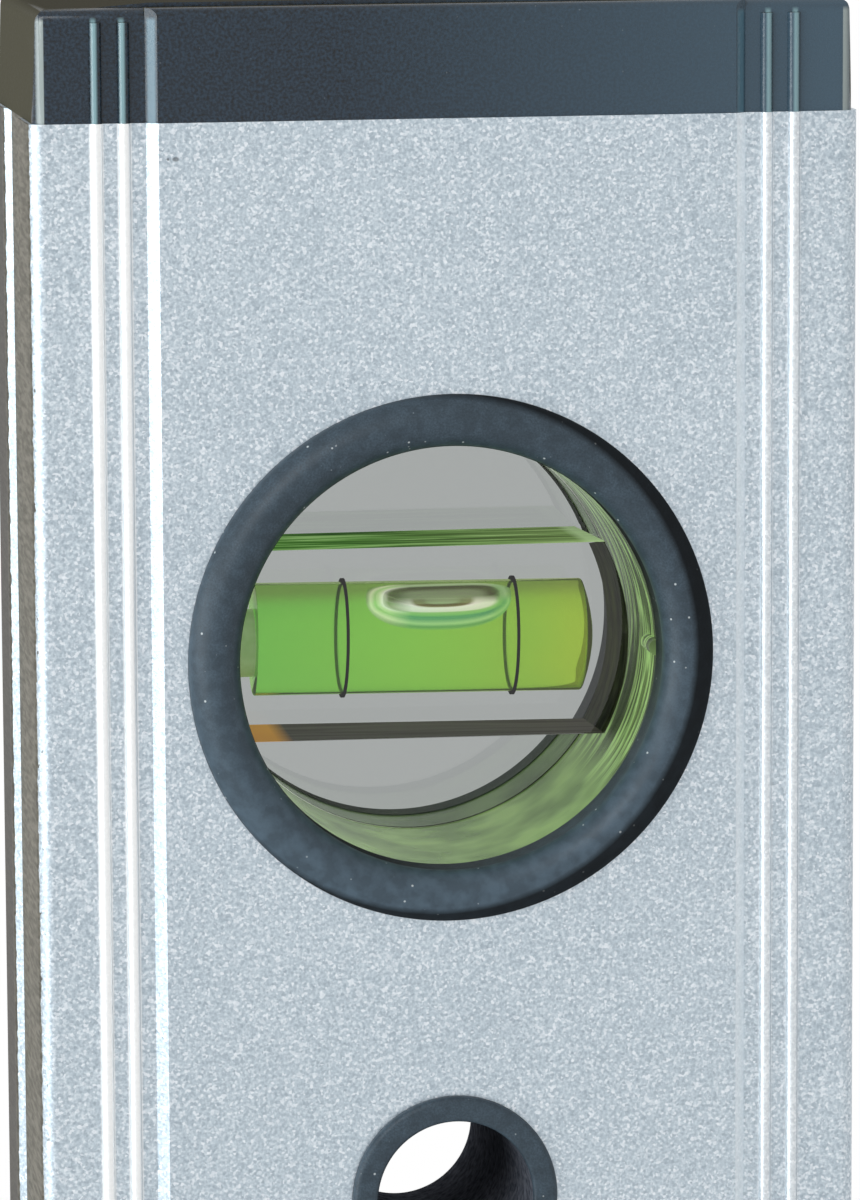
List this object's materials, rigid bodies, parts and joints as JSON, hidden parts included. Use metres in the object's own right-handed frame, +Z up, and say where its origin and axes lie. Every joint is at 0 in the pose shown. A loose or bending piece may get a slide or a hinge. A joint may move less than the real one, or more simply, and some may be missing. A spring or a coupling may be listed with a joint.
{
  "type": "digital spirit level",
  "caption": "Box-section aluminium spirit level standing on end, with a plumb vial window, a hanging hole, an edge vial and an angle display with keys.",
  "frame": {"origin": "middle of the foot of the lower end cap, on the surface that the level stands on", "axes": "+Z up along the body, -Y towards the front face with the display, -X towards the measuring face"},
  "size_m": [0.06, 0.0282, 0.4],
  "materials": {
    "silver_paint": "silver anodised, fine sparkling grain",
    "black_plastic": "fine moulded texture",
    "black_rubberised": "smooth satin",
    "green_acrylic": "tinted, polished",
    "clear_acrylic": "clear, polished",
    "green_liquid": "fluorescent tint",
    "black_ink": "printed line",
    "steel": "plain steel",
    "spring_steel": "nickel plated",
    "display_glass": "clear window",
    "zebra_rubber": "matt",
    "board_green": "solder mask",
    "chip_black": "moulded",
    "key_grey": "soft matt",
    "cell_sleeve": "plain sleeve"
  },
  "bodies": {
    "root": {"body_profile": "silver_paint", "upper_end_cap": "black_plastic", "lower_end_cap": "black_plastic", "plumb_ring_front": "black_rubberised", "plumb_ring_rear": "black_rubberised", "plumb_vial_sleeve": "green_acrylic", "plumb_vial_block": "clear_acrylic", "plumb_vial_liquid": "green_liquid", "plumb_vial_lines": "black_ink", "plumb_vial_plug": "green_acrylic", "hang_bush_front": "black_rubberised", "hang_bush_rear": "black_rubberised", "level_vial_frame": "black_plastic", "level_vial_cover": "black_plastic", "level_vial_block": "clear_acrylic", "level_vial_liquid": "green_liquid", "level_vial_lines": "black_ink", "level_vial_plug": "green_acrylic", "module_bezel": "black_plastic", "module_tray": "black_plastic", "module_screws": "steel", "display_lens": "display_glass", "display_panel": "display_glass", "display_contact_strips": "zebra_rubber", "circuit_board": "board_green", "processor_chip": "chip_black", "tilt_sensor": "steel", "buzzer": "chip_black", "key_switches": "steel", "battery_cell_left": "cell_sleeve", "battery_cell_right": "cell_sleeve", "battery_contacts": "spring_steel", "battery_springs": "spring_steel"},
    "power_key": {"power_key": "key_grey"},
    "hold_key": {"hold_key": "key_grey"},
    "zero_key": {"zero_key": "key_grey"},
    "unit_key": {"unit_key": "key_grey"},
    "battery_door": {"battery_door": "black_plastic"}
  },
  "joints": [
    {"name": "power_key_press", "type": "slide", "parent": "root", "child": "power_key", "axis": [0, 1, 0], "range_m": [0, 0.0008], "stiffness_N_per_m": 800},
    {"name": "hold_key_press", "type": "slide", "parent": "root", "child": "hold_key", "axis": [0, 1, 0], "range_m": [0, 0.0008], "stiffness_N_per_m": 800},
    {"name": "zero_key_press", "type": "slide", "parent": "root", "child": "zero_key", "axis": [0, 1, 0], "range_m": [0, 0.0008], "stiffness_N_per_m": 800},
    {"name": "unit_key_press", "type": "slide", "parent": "root", "child": "unit_key", "axis": [0, 1, 0], "range_m": [0, 0.0008], "stiffness_N_per_m": 800},
    {"name": "battery_door_hinge", "type": "hinge", "parent": "root", "child": "battery_door", "pos_m": [0, 0.0109, 0.13395], "axis": [1, 0, 0], "range_deg": [0, 90]}
  ]
}
